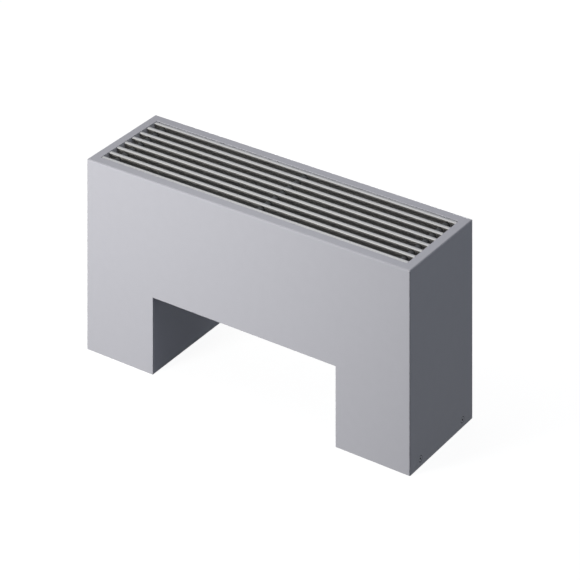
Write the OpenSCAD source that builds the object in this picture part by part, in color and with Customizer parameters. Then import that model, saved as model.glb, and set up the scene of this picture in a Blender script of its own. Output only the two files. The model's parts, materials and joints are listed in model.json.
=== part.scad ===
// Floor-standing convector. A folded steel casing stands on two closed legs,
// with a lift-out linear grille in its top. Inside, two folded stands carry a
// finned tube heat exchanger, its headers, valves and floor connections.
// Millimetres. Origin on the floor at the middle of the footprint, X along the
// casing, the front faces -Y, Z is up.

/* [Casing] */
// Outer length of the casing
casing_length = 600; // [560:10:900]
// Outer depth of the casing, front to back
casing_depth = 180; // [150:2:240]
// Outer height of the casing above the floor
casing_height = 300; // [250:5:450]
// Thickness of the casing's sheet
sheet = 1.5; // [1:0.25:2]
// Inside radius of the casing's bends
bend_inner = 0.5; // [0.25:0.25:1.5]
// Width of the rim at the grille's ends
rim_width = 15; // [12:1:18]
// Width of the rim along the grille's long sides
side_rim_width = 16.2; // [13:0.1:19]
// Width of the folded ledge that carries the grille
ledge_width = 10; // [7:1:14]
// Length of each leg along the casing
leg_width = 130; // [115:5:140]
// Height of the front above the open space between the legs
front_height = 180; // [150:2:210]
// Depth of the folded edges round the space between the legs
return_flange = 14; // [8:1:18]
// Distance of the casing screws from the front and the back
screw_inset = 30; // [24:1:40]
// Height of the casing screws above the floor
screw_z = 11; // [9:0.5:18]

/* [Grille] */
// Width of a bar's head
bar_width = 7; // [6:0.5:10]
// Height of a bar
bar_height = 18; // [16:0.5:24]
// Rise of the rounded top of a bar
bar_crown = 1; // [0.4:0.1:1.5]
// Thickness of a bar's head at its edges
bar_edge = 0.3; // [0.2:0.1:1.5]
// Thickness of a bar's web
bar_web = 2; // [1.5:0.1:2.6]
// Width of a bar's foot
bar_foot_width = 5.5; // [4:0.5:7]
// Thickness of a bar's foot
bar_foot = 1.5; // [1:0.1:2.5]
// Gap between the outer bars and the long sides of the rim
bar_side_gap = 1; // [0.5:0.1:3]
// Gap between the bars' ends and the rim
bar_end_gap = 0.8; // [0.3:0.1:2]
// Drop of the bars' tops below the rim
grille_recess = 0.3; // [0:0.1:2]
// Diameter of the tie rods
rod_d = 5; // [3:0.5:5]
// Depth of the tie rods below the bars' tops
rod_drop = 9; // [8.5:0.5:10.5]
// Distance of the outer tie rods from the bars' ends
rod_inset = 17; // [11:1:40]
// Distance of the middle tie rod from the grille's middle, to the right
middle_rod_shift = 9; // [-40:1:40]
// Outer diameter of the spacer tubes
spacer_d = 11; // [8:0.5:12]
// Thickness of the rubber pads under the bars' ends
pad_thick = 1; // [0.5:0.1:2]
// Width of the rubber pads
pad_width = 8; // [4:1:9]

/* [Stands] */
// Thickness of the stands' plate
plate = 2.5; // [2:0.5:3]
// Gap between the stands and the casing's front and back
stand_gap = 13.5; // [10:0.5:17]
// Rise of the stands' uprights above the fins
upright_rise = 8; // [2:0.5:30]
// Height of the upturned edges that take the casing screws
upturn_height = 24; // [20:1:30]
// Distance between the floor anchor holes of one stand
anchor_spacing = 100; // [80:5:120]
// Diameter of the floor anchor holes
anchor_d = 9; // [6:0.5:12]

/* [Heat exchanger] */
// Outer diameter of the water tubes
tube_d = 15; // [12:0.5:16]
// Wall of the water tubes
tube_wall = 1; // [0.7:0.1:1.5]
// Distance between the front and back tubes
tube_spacing = 75; // [60:1:80]
// Gap between the open space under the casing and the fins
fin_gap = 12; // [6:0.5:20]
// Height of a fin
fin_height = 70; // [64:1:76]
// Gap between the fins and the casing's front and back
fin_side_gap = 16.5; // [14:0.5:22]
// Thickness of a fin
fin_thick = 0.5; // [0.3:0.1:0.8]
// Pitch of the fins
fin_pitch = 6; // [4:0.5:10]
// Outer diameter of the headers
header_d = 22; // [20:1:24]

/* [Valves and connections] */
// Distance of the valves from the casing's side wall
valve_inset = 22.5; // [20:0.5:28]
// Distance from a valve's outlet to the middle of its header
stub_length = 20; // [18:0.5:26]
// Bore radius of the female floor connections
connector_bore_r = 9.3; // [8:0.1:9.5]
// Depth of the female thread in the floor connections
connector_depth = 15; // [12:1:16]
// Outer diameter of the hand cap
cap_d = 34; // [28:0.5:42]

/* [Hidden] */
$fn = 48;

// Overrun of every cut past the face it opens
over = 1;
// Clearance round fixed round pieces that are pushed in
fit_gap = 0.05;
// Clearance round pieces that turn or slide
run_gap = 0.06;
// Clearance between screwed pieces
thread_gap = 0.1;
// Clearance between a piece and the stop that it nears
stop_gap = 0.3;
// Width of a nut's flat end, as a share of its width across flats
nut_end_share = 0.95;
// Slope of a nut's turned corners, in degrees
nut_end_angle = 30;

// Casing
half_length = casing_length / 2;
half_depth = casing_depth / 2;
inner_half_length = half_length - sheet;
inner_half_depth = half_depth - sheet;
bend_outer = bend_inner + sheet;
panel_top = casing_height - bend_outer;
opening_length = casing_length - 2 * rim_width;
opening_depth = casing_depth - 2 * side_rim_width;
cutout_length = casing_length - 2 * leg_width;
cutout_height = casing_height - front_height;
screw_y = half_depth - screw_inset;
ledge_top = casing_height - grille_recess - bar_height - pad_thick;

// Casing screws, countersunk, with a six-sided socket
screw_r = 2.5;
screw_head_r = 4.8;
screw_head_height = 2.3;
screw_length = 11;
screw_recess = 0.25;
socket_af = 3;
socket_depth = 1.6;
nut_af = 8;
nut_height = 4;

// Grille
bar_count = 8;
bar_length = opening_length - 2 * bar_end_gap;
bar_pitch = (opening_depth - 2 * bar_side_gap - bar_width) / (bar_count - 1);
bar_base = ledge_top + pad_thick;
bar_top = bar_base + bar_height;
crown_r = (pow(bar_width / 2, 2) + pow(bar_crown, 2)) / (2 * bar_crown);
outer_bar_y = bar_pitch * (bar_count - 1) / 2;
rod_x = bar_length / 2 - rod_inset;
rod_places = [-rod_x, middle_rod_shift, rod_x];
rod_z = bar_top - rod_drop;
rod_nut_height = 2.5;
rod_end_gap = 0.8;
spacer_length = bar_pitch - bar_web;

// Rows of tubes
tube_r = tube_d / 2;
fin_bottom = cutout_height + fin_gap;
fin_depth = 2 * (inner_half_depth - fin_side_gap);
row_low_z = fin_bottom + fin_height / 4;
row_high_z = fin_bottom + fin_height * 3 / 4;
collar_wall = 0.6;
grommet_flange = 2;
grommet_rim = 5;
grommet_neck = 2.5;
grommet_flange_r = tube_r + grommet_rim;
grommet_groove_r = tube_r + grommet_neck;

// Places along the casing, from the valves in the left leg to the stands' uprights
outlet_reach = 24;
header_gap = 4.5;
header_r = header_d / 2;
valve_x = -(inner_half_length - valve_inset);
header_x = valve_x + outlet_reach + stub_length;
web_outer_x = -header_x - header_r - header_gap - grommet_flange;
web_inner_x = web_outer_x - plate;

// Stands
stand_depth = 2 * (inner_half_depth - stand_gap);
upright_height = fin_bottom + fin_height + upright_rise;
stand_bend = 1.5;
web_flange = 12;
web_flange_base = 30;
window_side = 31;
window_half_depth = stand_depth / 2 - window_side;
window_base = 28;
window_web = 25;
window_height = row_low_z - grommet_flange_r - window_web - window_base;
window_corner = 8;
foot_window_inset = 6;
foot_window_length = 36.5;
foot_window_side = 19;
foot_window_half_depth = stand_depth / 2 - foot_window_side;
anchor_inset = 18;
anchor_x = web_outer_x + anchor_inset;

// Fins and return bends
fin_end_gap = 2;
fin_room = 2 * (web_inner_x - grommet_flange - fin_end_gap);
fin_count = floor(fin_room / fin_pitch);
fin_block_length = (fin_count - 1) * fin_pitch + fin_thick;
fin_corner = 3;
cup_wall = 1;
cup_depth = 8;
cup_gap = 3;
bend_x = web_outer_x + grommet_flange + cup_gap + cup_depth;

// Headers
header_wall = 1.5;
header_end = 14;
header_corner = 3;
header_base = row_low_z - header_end;
header_top = row_high_z + header_end;
tube_reach = 7;
boss_r = 7;
boss_height = 5;
plug_thread_r = 4.5;
plug_thread_length = 7;

// Angle valves, about the middle of the outlet
barrel_r = 13;
barrel_corner = 1;
barrel_down = 14;
barrel_up = 18;
chamber_r = 10.5;
passage_r = 5.5;
neck_wall = 2.5;
neck_r = tube_r + neck_wall;
neck_length = 12;
socket_length = 10;
outlet_r = 11.3;
seat_drop = 6;
ball_chamber_drop = 9.5;
insert_base = 10;
hex_height = 5;
hex_af = 27;
cap_skirt = 1.7;
cap_wall_gap = 0.3;
insert_neck_r = cap_d / 2 - cap_skirt - cap_wall_gap;
insert_neck_height = 9;
insert_boss_r = 6;
insert_boss_height = 3;
pin_r = 1.5;
pin_proud = 4.2;
disc_r = 8.5;
disc_height = 2.5;
pin_travel = 2.25;
cap_clear = 3;
cap_top = 8.5;
cap_flutes = 18;
flute_r = 1.4;
bonnet_neck_r = 10.5;
bonnet_neck_height = 8;
ball_r = 9;
stem_r = 4;
stem_proud = 3;
key_af = 4;
key_depth = 3;
shield_wall = 1.8;
shield_gap = 1;

// Union nuts between the valves and the headers
union_af = 28;
union_collar_r = 10;
union_collar = 2;
union_cover = 9;
union_nose = 3.5;
stub_r = 8;
stub_bore_r = 6.5;

// Floor connections
bracket_plate = 2;
bracket_bend = 1;
bracket_z = 38;
bracket_flange_height = 24;
bracket_side = 9;
bracket_depth = stand_depth - 2 * bracket_side;
bracket_screw_side = 8;
bracket_screw_y = bracket_depth / 2 - bracket_screw_side;
bracket_screw_rise = 16;
bracket_screw_z = bracket_z + bracket_screw_rise;
bracket_screw_r = 2;
bracket_screw_head_r = 4;
bracket_screw_head = 2.6;
bracket_screw_length = 9;
connector_wall = 4.2;
connector_af = 2 * (connector_bore_r + connector_wall);
connector_end = 5;
connector_height = connector_depth + connector_end;
connector_neck = 20;
locknut_height = 5;
compression_wall = 2;
compression_af = 2 * (neck_r + compression_wall);
compression_cover = 8;
compression_nose = 5;
connector_mouth = bracket_z + connector_neck;

// Bleed valve
bleed_hex_af = 15;
bleed_hex_height = 6;
bleed_barrel_r = 5.5;
bleed_barrel_height = 8;
bleed_screw_r = 2.5;
bleed_key_af = 5;
bleed_key_height = 5;
bleed_spout_r = 2;
bleed_spout_bore_r = 1;
bleed_spout_reach = 9;
bleed_weep_r = 1.2;
drain_hex_af = 13;
drain_hex_height = 5;

// Colours
paint = [0.70, 0.70, 0.73];
zinc = [0.62, 0.64, 0.66];
steel = [0.55, 0.56, 0.58];
anodised = [0.78, 0.78, 0.79];
bare_aluminium = [0.82, 0.83, 0.85];
copper = [0.78, 0.45, 0.30];
brass = [0.80, 0.66, 0.36];
nickel = [0.72, 0.71, 0.67];
rubber = [0.12, 0.12, 0.13];
plastic = [0.92, 0.92, 0.90];

// Flat outline with round corners, about the origin
module rounded_rect(length, width, r) {
    square([length - 2 * r, width], center = true);
    square([length, width - 2 * r], center = true);
    for (sx = [-1, 1], sy = [-1, 1])
        translate([sx * (length / 2 - r), sy * (width / 2 - r)])
            circle(r);
}

// Flat outline that stands on its base line, with round upper corners
module round_topped(width, height, r) {
    translate([-width / 2, 0])
        square([width, height - r]);
    translate([-width / 2 + r, 0])
        square([width - 2 * r, height]);
    for (side = [-1, 1])
        translate([side * (width / 2 - r), height - r])
            circle(r);
}

// Block on the floor with round upright edges and round upper edges
module casing_block(length, depth, height, r) {
    intersection() {
        linear_extrude(height)
            rounded_rect(length, depth, r);
        rotate([90, 0, 0])
            linear_extrude(depth + 2 * over, center = true)
                round_topped(length, height, r);
        rotate([90, 0, 90])
            linear_extrude(length + 2 * over, center = true)
                round_topped(depth, height, r);
    }
}

// Quarter of a flat ring in the lower left quadrant, centred on its bend
module bend_outline(inner, thick) {
    intersection() {
        difference() {
            circle(inner + thick);
            circle(inner);
        }
        translate([-inner - thick - over, -inner - thick - over])
            square(inner + thick + over);
    }
}

// Six-sided prism with a stated width across flats
module hex_prism(across, height) {
    cylinder(r = across / sqrt(3), h = height, $fn = 6);
}

// Six-sided blank whose ends are turned to cones, as on a nut
module nut_blank(across, height) {
    end_r = across / 2 * nut_end_share;
    reach = across / sqrt(3) + over;
    rise = (reach - end_r) * tan(nut_end_angle);
    intersection() {
        hex_prism(across, height);
        rotate_extrude()
            polygon([[0, 0], [end_r, 0], [reach, rise],
                     [reach, height - rise], [end_r, height], [0, height]]);
    }
}

// Cylinder with both rims rounded
module round_can(r, height, corner) {
    rotate_extrude() {
        square([r - corner, height]);
        translate([0, corner])
            square([r, height - 2 * corner]);
        for (z = [corner, height - corner])
            translate([r - corner, z])
                circle(corner);
    }
}

// Cylinder along +X
module rod_along_x(r, length) {
    rotate([0, 90, 0])
        cylinder(r = r, h = length);
}

// Countersunk screw along -X, its head's top at the origin
module casing_screw() {
    rotate([0, -90, 0])
        difference() {
            union() {
                cylinder(r1 = screw_head_r, r2 = screw_r, h = screw_head_height);
                cylinder(r = screw_r, h = screw_length);
            }
            translate([0, 0, -over])
                hex_prism(socket_af, socket_depth + over);
        }
}

// Cut for a casing screw, along -X from the outer face, with room for the head to sink in
module casing_screw_seat() {
    mouth_r = screw_head_r + thread_gap + screw_recess;
    rotate([0, -90, 0]) {
        cylinder(r1 = mouth_r, r2 = screw_r + thread_gap, h = screw_head_height + screw_recess);
        translate([0, 0, -over])
            cylinder(r = mouth_r, h = over);
        cylinder(r = screw_r + thread_gap, h = screw_length + over);
    }
}

// Places its children at the four casing screws, with +X pointing outwards
module at_casing_screws() {
    for (end = [0, 1], side = [-1, 1])
        mirror([end, 0, 0])
            translate([half_length, side * screw_y, screw_z])
                children();
}

// Folded sheet of the casing, closed at its top and open to the floor
module casing_shell() {
    difference() {
        casing_block(casing_length, casing_depth, casing_height, bend_outer);
        translate([0, 0, -over])
            casing_block(2 * inner_half_length, 2 * inner_half_depth,
                         casing_height - sheet + over, bend_inner);
    }
}

// Front of the casing up to its top bend, with the bends to both sides, the open
// space between the legs and the folded edge above that space
module front_panel() {
    color(paint)
    difference() {
        union() {
            intersection() {
                casing_shell();
                translate([-half_length - over, -half_depth - over, -over])
                    cube([casing_length + 2 * over, bend_outer + over, panel_top + over]);
            }
            translate([-cutout_length / 2, -half_depth + sheet / 2, cutout_height])
                cube([cutout_length, return_flange - sheet / 2, sheet]);
        }
        translate([-cutout_length / 2, -half_depth - over, -over])
            cube([cutout_length, bend_outer + 2 * over, cutout_height + over]);
    }
}

module back_panel() {
    mirror([0, 1, 0])
        front_panel();
}

// Right side of the casing between the bends of the front and the back
module side_panel() {
    color(paint)
    difference() {
        translate([inner_half_length, -half_depth + bend_outer, 0])
            cube([sheet, casing_depth - 2 * bend_outer, panel_top]);
        at_casing_screws()
            casing_screw_seat();
    }
}

module side_panel_right() {
    side_panel();
}

module side_panel_left() {
    mirror([1, 0, 0])
        side_panel();
}

// Rim of the casing with its top bends, and the folded ledge that carries the grille
module grille_frame() {
    color(paint)
    difference() {
        union() {
            intersection() {
                casing_shell();
                translate([-half_length - over, -half_depth - over, panel_top])
                    cube([casing_length + 2 * over, casing_depth + 2 * over, bend_outer + over]);
            }
            translate([0, 0, ledge_top - sheet])
                linear_extrude(casing_height - sheet / 2 - ledge_top + sheet)
                    square([opening_length + 2 * sheet, opening_depth + 2 * sheet], center = true);
        }
        translate([0, 0, ledge_top])
            linear_extrude(casing_height - ledge_top + over)
                square([opening_length, opening_depth], center = true);
        translate([0, 0, ledge_top - sheet - over])
            linear_extrude(sheet + 2 * over)
                square([opening_length - 2 * ledge_width, opening_depth - 2 * ledge_width], center = true);
    }
}

// Closes the inner side of the right leg, with folded edges all round its top
module inner_leg_panel() {
    color(paint)
    translate([cutout_length / 2, 0, 0]) {
        translate([0, -inner_half_depth, 0])
            cube([sheet, 2 * inner_half_depth, cutout_height]);
        for (back = [0, 1])
            mirror([0, back, 0])
                translate([0, -inner_half_depth, 0])
                    cube([return_flange, sheet, cutout_height]);
        translate([0, -inner_half_depth, cutout_height - sheet])
            cube([return_flange, 2 * inner_half_depth, sheet]);
    }
}

module inner_leg_panel_right() {
    inner_leg_panel();
}

module inner_leg_panel_left() {
    mirror([1, 0, 0])
        inner_leg_panel();
}

// Folded outline of the right stand, seen from the front: upright, foot, upturn
module stand_outline() {
    r_out = stand_bend + plate;
    translate([web_inner_x + r_out, 0])
        square([inner_half_length - web_inner_x - 2 * r_out, plate]);
    translate([web_inner_x, r_out])
        square([plate, upright_height - r_out]);
    translate([inner_half_length - plate, r_out])
        square([plate, upturn_height - r_out]);
    translate([web_inner_x + r_out, r_out])
        bend_outline(stand_bend, plate);
    translate([inner_half_length - r_out, r_out])
        mirror([1, 0])
            bend_outline(stand_bend, plate);
}

// The right stand, one folded plate
module stand() {
    color(zinc)
    difference() {
        union() {
            rotate([90, 0, 0])
                linear_extrude(stand_depth, center = true)
                    stand_outline();
            for (back = [0, 1])
                mirror([0, back, 0])
                    translate([web_inner_x, -stand_depth / 2, web_flange_base])
                        cube([plate + web_flange, plate, upright_height - web_flange_base]);
        }
        // Tube holes
        for (side = [-1, 1], z = [row_low_z, row_high_z])
            translate([web_inner_x - over, side * tube_spacing / 2, z])
                rod_along_x(grommet_groove_r + fit_gap, plate + 2 * over);
        // Window in the upright
        translate([web_inner_x - over, 0, window_base + window_height / 2])
            rotate([90, 0, 90])
                linear_extrude(plate + 2 * over)
                    rounded_rect(2 * window_half_depth, window_height, window_corner);
        // Window in the foot, for the pipes from the floor
        translate([inner_half_length - foot_window_inset - foot_window_length,
                   -foot_window_half_depth, -over])
            cube([foot_window_length, 2 * foot_window_half_depth, plate + 2 * over]);
        // Floor anchor holes
        for (side = [-1, 1])
            translate([anchor_x, side * anchor_spacing / 2, -over])
                cylinder(d = anchor_d, h = plate + 2 * over);
        // Holes for the pipe bracket
        for (side = [-1, 1])
            translate([web_inner_x - over, side * bracket_screw_y, bracket_screw_z])
                rod_along_x(bracket_screw_r + thread_gap, plate + 2 * over);
        at_casing_screws()
            casing_screw_seat();
    }
}

module stand_right() {
    stand();
}

module stand_left() {
    mirror([1, 0, 0])
        stand();
}

module casing_screws() {
    color(paint)
    at_casing_screws()
        translate([-screw_recess, 0, 0])
            casing_screw();
}

module casing_nuts() {
    color(steel)
    at_casing_screws()
        translate([-sheet - plate, 0, 0])
            rotate([0, -90, 0])
                difference() {
                    nut_blank(nut_af, nut_height);
                    translate([0, 0, -over])
                        cylinder(r = screw_r + thread_gap, h = nut_height + 2 * over);
                }
}

// Outline of one fin, seen along X, with its corners clipped
module fin_outline() {
    y = fin_depth / 2;
    z = fin_height / 2;
    polygon([[-y + fin_corner, -z], [y - fin_corner, -z], [y, -z + fin_corner], [y, z - fin_corner],
             [y - fin_corner, z], [-y + fin_corner, z], [-y, z - fin_corner], [-y, -z + fin_corner]]);
}

module fin_block() {
    color(bare_aluminium)
    difference() {
        union() {
            for (i = [0 : fin_count - 1])
                translate([-fin_block_length / 2 + i * fin_pitch, 0, fin_bottom + fin_height / 2])
                    rotate([90, 0, 90])
                        linear_extrude(fin_thick)
                            fin_outline();
            for (side = [-1, 1], z = [row_low_z, row_high_z])
                translate([-fin_block_length / 2, side * tube_spacing / 2, z])
                    rod_along_x(tube_r + fit_gap + collar_wall, fin_block_length);
        }
        for (side = [-1, 1], z = [row_low_z, row_high_z])
            translate([-fin_block_length / 2 - over, side * tube_spacing / 2, z])
                rod_along_x(tube_r + fit_gap, fin_block_length + 2 * over);
    }
}

// One straight water tube, from inside its header to the return bend
module water_tube(side, z) {
    start = header_x + tube_reach;
    length = bend_x - cup_wall - stop_gap - start;
    color(copper)
    translate([start, side * tube_spacing / 2, z])
        difference() {
            rod_along_x(tube_r, length);
            translate([-over, 0, 0])
                rod_along_x(tube_r - tube_wall, length + 2 * over);
        }
}

module tube_front_lower() {
    water_tube(-1, row_low_z);
}

module tube_front_upper() {
    water_tube(-1, row_high_z);
}

module tube_back_lower() {
    water_tube(1, row_low_z);
}

module tube_back_upper() {
    water_tube(1, row_high_z);
}

// Half-turn bend with a cup on each end, which slips over the tubes
module return_bend(z) {
    color(copper)
    translate([bend_x, 0, z]) {
        rotate([0, 0, -90])
            rotate_extrude(angle = 180)
                translate([tube_spacing / 2, 0])
                    difference() {
                        circle(tube_r);
                        circle(tube_r - tube_wall);
                    }
        for (side = [-1, 1])
            translate([-cup_depth, side * tube_spacing / 2, 0])
                difference() {
                    rod_along_x(tube_r + fit_gap + cup_wall, cup_depth);
                    translate([-over, 0, 0])
                        rod_along_x(tube_r + fit_gap, cup_depth - cup_wall + over);
                    rod_along_x(tube_r - tube_wall, cup_depth + over);
                }
    }
}

module return_bend_lower() {
    return_bend(row_low_z);
}

module return_bend_upper() {
    return_bend(row_high_z);
}

// Grommet round one tube, along X, with a groove that takes the upright's plate
module grommet() {
    inner = tube_r + fit_gap;
    flange = grommet_flange;
    rotate([0, 90, 0])
        rotate_extrude()
            polygon([[inner, -flange], [grommet_flange_r, -flange], [grommet_flange_r, 0],
                     [grommet_groove_r, 0], [grommet_groove_r, plate], [grommet_flange_r, plate],
                     [grommet_flange_r, plate + flange], [inner, plate + flange]]);
}

module tube_grommets_right() {
    color(rubber)
    for (side = [-1, 1], z = [row_low_z, row_high_z])
        translate([web_inner_x, side * tube_spacing / 2, z])
            grommet();
}

module tube_grommets_left() {
    mirror([1, 0, 0])
        tube_grommets_right();
}

// Upright header with two tube holes and a side stub at the stated height
module header(side, stub_z) {
    stub_x = valve_x + outlet_reach - header_x;
    translate([header_x, side * tube_spacing / 2, 0])
        difference() {
            union() {
                translate([0, 0, header_base])
                    round_can(header_r, header_top - header_base, header_corner);
                translate([stub_x, 0, stub_z])
                    rod_along_x(stub_r, -stub_x);
                translate([stub_x, 0, stub_z])
                    rod_along_x(union_collar_r, union_collar);
                children(0);
            }
            translate([0, 0, header_base + header_wall])
                round_can(header_r - header_wall, header_top - header_base - 2 * header_wall,
                          header_corner - header_wall);
            translate([stub_x - over, 0, stub_z])
                rod_along_x(stub_bore_r, over - stub_x);
            for (z = [row_low_z, row_high_z])
                translate([0, 0, z])
                    rod_along_x(tube_r + fit_gap, header_r + over);
            children(1);
        }
}

// The flow header has a boss for the drain plug at its foot
module flow_header() {
    color(copper)
    header(-1, row_high_z) {
        translate([0, 0, header_base - boss_height])
            cylinder(r = boss_r, h = boss_height + header_wall);
        translate([0, 0, header_base - boss_height - over])
            cylinder(r = plug_thread_r + thread_gap, h = boss_height + header_wall + 2 * over);
    }
}

// The return header has a boss for the bleed valve on its top
module return_header() {
    color(copper)
    header(1, row_low_z) {
        translate([0, 0, header_top - header_wall])
            cylinder(r = boss_r, h = boss_height + header_wall);
        translate([0, 0, header_top - header_wall - over])
            cylinder(r = plug_thread_r + thread_gap, h = boss_height + header_wall + 2 * over);
    }
}

module drain_plug() {
    color(brass)
    translate([header_x, -tube_spacing / 2, header_base - boss_height]) {
        cylinder(r = plug_thread_r, h = plug_thread_length);
        translate([0, 0, -drain_hex_height])
            nut_blank(drain_hex_af, drain_hex_height);
    }
}

module bleed_valve_body() {
    spout_z = bleed_hex_height + bleed_barrel_height / 2;
    color(nickel)
    translate([header_x, tube_spacing / 2, header_top + boss_height])
        difference() {
            union() {
                translate([0, 0, -plug_thread_length])
                    cylinder(r = plug_thread_r, h = plug_thread_length);
                nut_blank(bleed_hex_af, bleed_hex_height);
                cylinder(r = bleed_barrel_r, h = bleed_hex_height + bleed_barrel_height);
                translate([-bleed_spout_reach, 0, spout_z])
                    rod_along_x(bleed_spout_r, bleed_spout_reach);
            }
            cylinder(r = bleed_screw_r + run_gap, h = bleed_hex_height + bleed_barrel_height + over);
            translate([0, 0, -plug_thread_length - over])
                cylinder(r = bleed_weep_r, h = plug_thread_length + 2 * over);
            translate([-bleed_spout_reach - over, 0, spout_z])
                rod_along_x(bleed_spout_bore_r, bleed_spout_reach + over);
        }
}

module bleed_screw() {
    color(nickel)
    translate([header_x, tube_spacing / 2, header_top + boss_height + stop_gap]) {
        cylinder(r = bleed_screw_r, h = bleed_hex_height + bleed_barrel_height);
        translate([0, 0, bleed_hex_height + bleed_barrel_height])
            cylinder(r = bleed_key_af / sqrt(2), h = bleed_key_height, $fn = 4);
    }
}

// Angle valve: inlet from below, outlet to +X, insert from above
module angle_valve_body(chamber_drop) {
    difference() {
        union() {
            translate([0, 0, -barrel_down])
                round_can(barrel_r, barrel_down + barrel_up, barrel_corner);
            translate([0, 0, -barrel_down - neck_length])
                cylinder(r = neck_r, h = neck_length);
            rod_along_x(outlet_r, outlet_reach);
        }
        translate([0, 0, -chamber_drop])
            cylinder(r = chamber_r, h = chamber_drop + barrel_up + over);
        translate([0, 0, -barrel_down - neck_length])
            cylinder(r = passage_r, h = barrel_down + neck_length);
        translate([0, 0, -barrel_down - neck_length - over])
            cylinder(r = tube_r + fit_gap, h = socket_length + over);
        rod_along_x(passage_r, outlet_reach + over);
    }
}

// Places its children at the flow valve's outlet
module at_flow_valve() {
    translate([valve_x, -tube_spacing / 2, row_high_z])
        children();
}

// Places its children at the return valve's outlet
module at_return_valve() {
    translate([valve_x, tube_spacing / 2, row_low_z])
        children();
}

module flow_valve_body() {
    color(nickel)
    at_flow_valve()
        angle_valve_body(seat_drop);
}

module flow_valve_insert() {
    neck_top = barrel_up + hex_height + insert_neck_height;
    color(brass)
    at_flow_valve()
        difference() {
            union() {
                translate([0, 0, insert_base])
                    cylinder(r = chamber_r - thread_gap, h = barrel_up - insert_base);
                translate([0, 0, barrel_up])
                    nut_blank(hex_af, hex_height);
                translate([0, 0, barrel_up + hex_height])
                    cylinder(r = insert_neck_r, h = insert_neck_height);
                translate([0, 0, neck_top])
                    cylinder(r = insert_boss_r, h = insert_boss_height);
            }
            cylinder(r = pin_r + run_gap, h = neck_top + insert_boss_height + over);
        }
}

// Height of the pin's top above the flow valve's outlet, when the valve is open
pin_top = barrel_up + hex_height + insert_neck_height + insert_boss_height + pin_proud;

module valve_pin() {
    disc_base = -seat_drop + pin_travel + stop_gap;
    color(steel)
    at_flow_valve() {
        translate([0, 0, disc_base])
            cylinder(r = disc_r, h = disc_height);
        translate([0, 0, disc_base])
            cylinder(r = pin_r, h = pin_top - disc_base);
    }
}

// Fluted cap that screws down on the insert's neck and pushes the pin
module hand_cap() {
    base = barrel_up + hex_height + cap_clear;
    height = pin_top + stop_gap - base + cap_top;
    chamfer = flute_r;
    color(plastic)
    at_flow_valve()
        translate([0, 0, base])
            difference() {
                rotate_extrude()
                    polygon([[0, 0], [cap_d / 2, 0], [cap_d / 2, height - chamfer],
                             [cap_d / 2 - chamfer, height], [0, height]]);
                translate([0, 0, -over])
                    cylinder(r = insert_neck_r + cap_wall_gap, h = height - cap_top + over);
                for (i = [0 : cap_flutes - 1])
                    rotate(i * 360 / cap_flutes)
                        translate([cap_d / 2 + flute_r / 2, 0, -over])
                            cylinder(r = flute_r, h = height + 2 * over, $fn = 24);
            }
}

module return_valve_body() {
    color(nickel)
    at_return_valve()
        angle_valve_body(ball_chamber_drop);
}

module return_valve_bonnet() {
    color(brass)
    at_return_valve()
        difference() {
            union() {
                translate([0, 0, insert_base])
                    cylinder(r = chamber_r - thread_gap, h = barrel_up - insert_base);
                translate([0, 0, barrel_up])
                    nut_blank(hex_af, hex_height);
                translate([0, 0, barrel_up + hex_height])
                    cylinder(r = bonnet_neck_r, h = bonnet_neck_height);
            }
            cylinder(r = stem_r + run_gap, h = barrel_up + hex_height + bonnet_neck_height + over);
        }
}

// Height of the stem's top above the return valve's outlet
stem_top = barrel_up + hex_height + bonnet_neck_height + stem_proud;

// Quarter-turn ball with an angled passage and a stem with a six-sided socket
module ball_spindle() {
    color(nickel)
    at_return_valve()
        difference() {
            union() {
                sphere(r = ball_r);
                cylinder(r = stem_r, h = stem_top);
            }
            translate([0, 0, -ball_r - over])
                cylinder(r = passage_r, h = ball_r + over);
            rod_along_x(passage_r, ball_r + over);
            translate([0, 0, stem_top - key_depth])
                hex_prism(key_af, key_depth + over);
        }
}

module lockshield_cap() {
    base = barrel_up + hex_height + shield_gap;
    height = stem_top + shield_gap - base;
    outer_r = bonnet_neck_r + thread_gap + shield_wall;
    dome_r = outer_r - shield_wall;
    color(nickel)
    at_return_valve()
        translate([0, 0, base])
            difference() {
                rotate_extrude()
                    polygon([[0, 0], [outer_r, 0], [outer_r, height],
                             [dome_r, height + shield_wall], [0, height + shield_wall]]);
                translate([0, 0, -over])
                    cylinder(r = bonnet_neck_r + thread_gap, h = height + over);
            }
}

// Union nut along X, its sealing face at the origin
module union_nut() {
    difference() {
        translate([-union_cover, 0, 0])
            rotate([0, 90, 0])
                nut_blank(union_af, union_cover + union_collar + union_nose);
        translate([-union_cover - over, 0, 0])
            rod_along_x(outlet_r + thread_gap, union_cover + over + union_collar);
        rod_along_x(stub_r + thread_gap, union_collar + union_nose + over);
    }
}

module union_nuts() {
    color(brass) {
        at_flow_valve()
            translate([outlet_reach, 0, 0])
                union_nut();
        at_return_valve()
            translate([outlet_reach, 0, 0])
                union_nut();
    }
}

// Compression nut, its mouth plane at the origin, the pipe leaving along +Z
module compression_nut() {
    difference() {
        translate([0, 0, -compression_cover])
            nut_blank(compression_af, compression_cover + compression_nose);
        translate([0, 0, -compression_cover - over])
            cylinder(r = neck_r + thread_gap, h = compression_cover + over);
        cylinder(r = tube_r + thread_gap, h = compression_nose + over);
    }
}

// Height of a valve's pipe mouth below its outlet
valve_mouth = barrel_down + neck_length;

module riser_nuts() {
    color(brass) {
        at_flow_valve()
            translate([0, 0, -valve_mouth])
                mirror([0, 0, 1])
                    compression_nut();
        at_return_valve()
            translate([0, 0, -valve_mouth])
                mirror([0, 0, 1])
                    compression_nut();
        for (side = [-1, 1])
            translate([valve_x, side * tube_spacing / 2, connector_mouth])
                compression_nut();
    }
}

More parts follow.
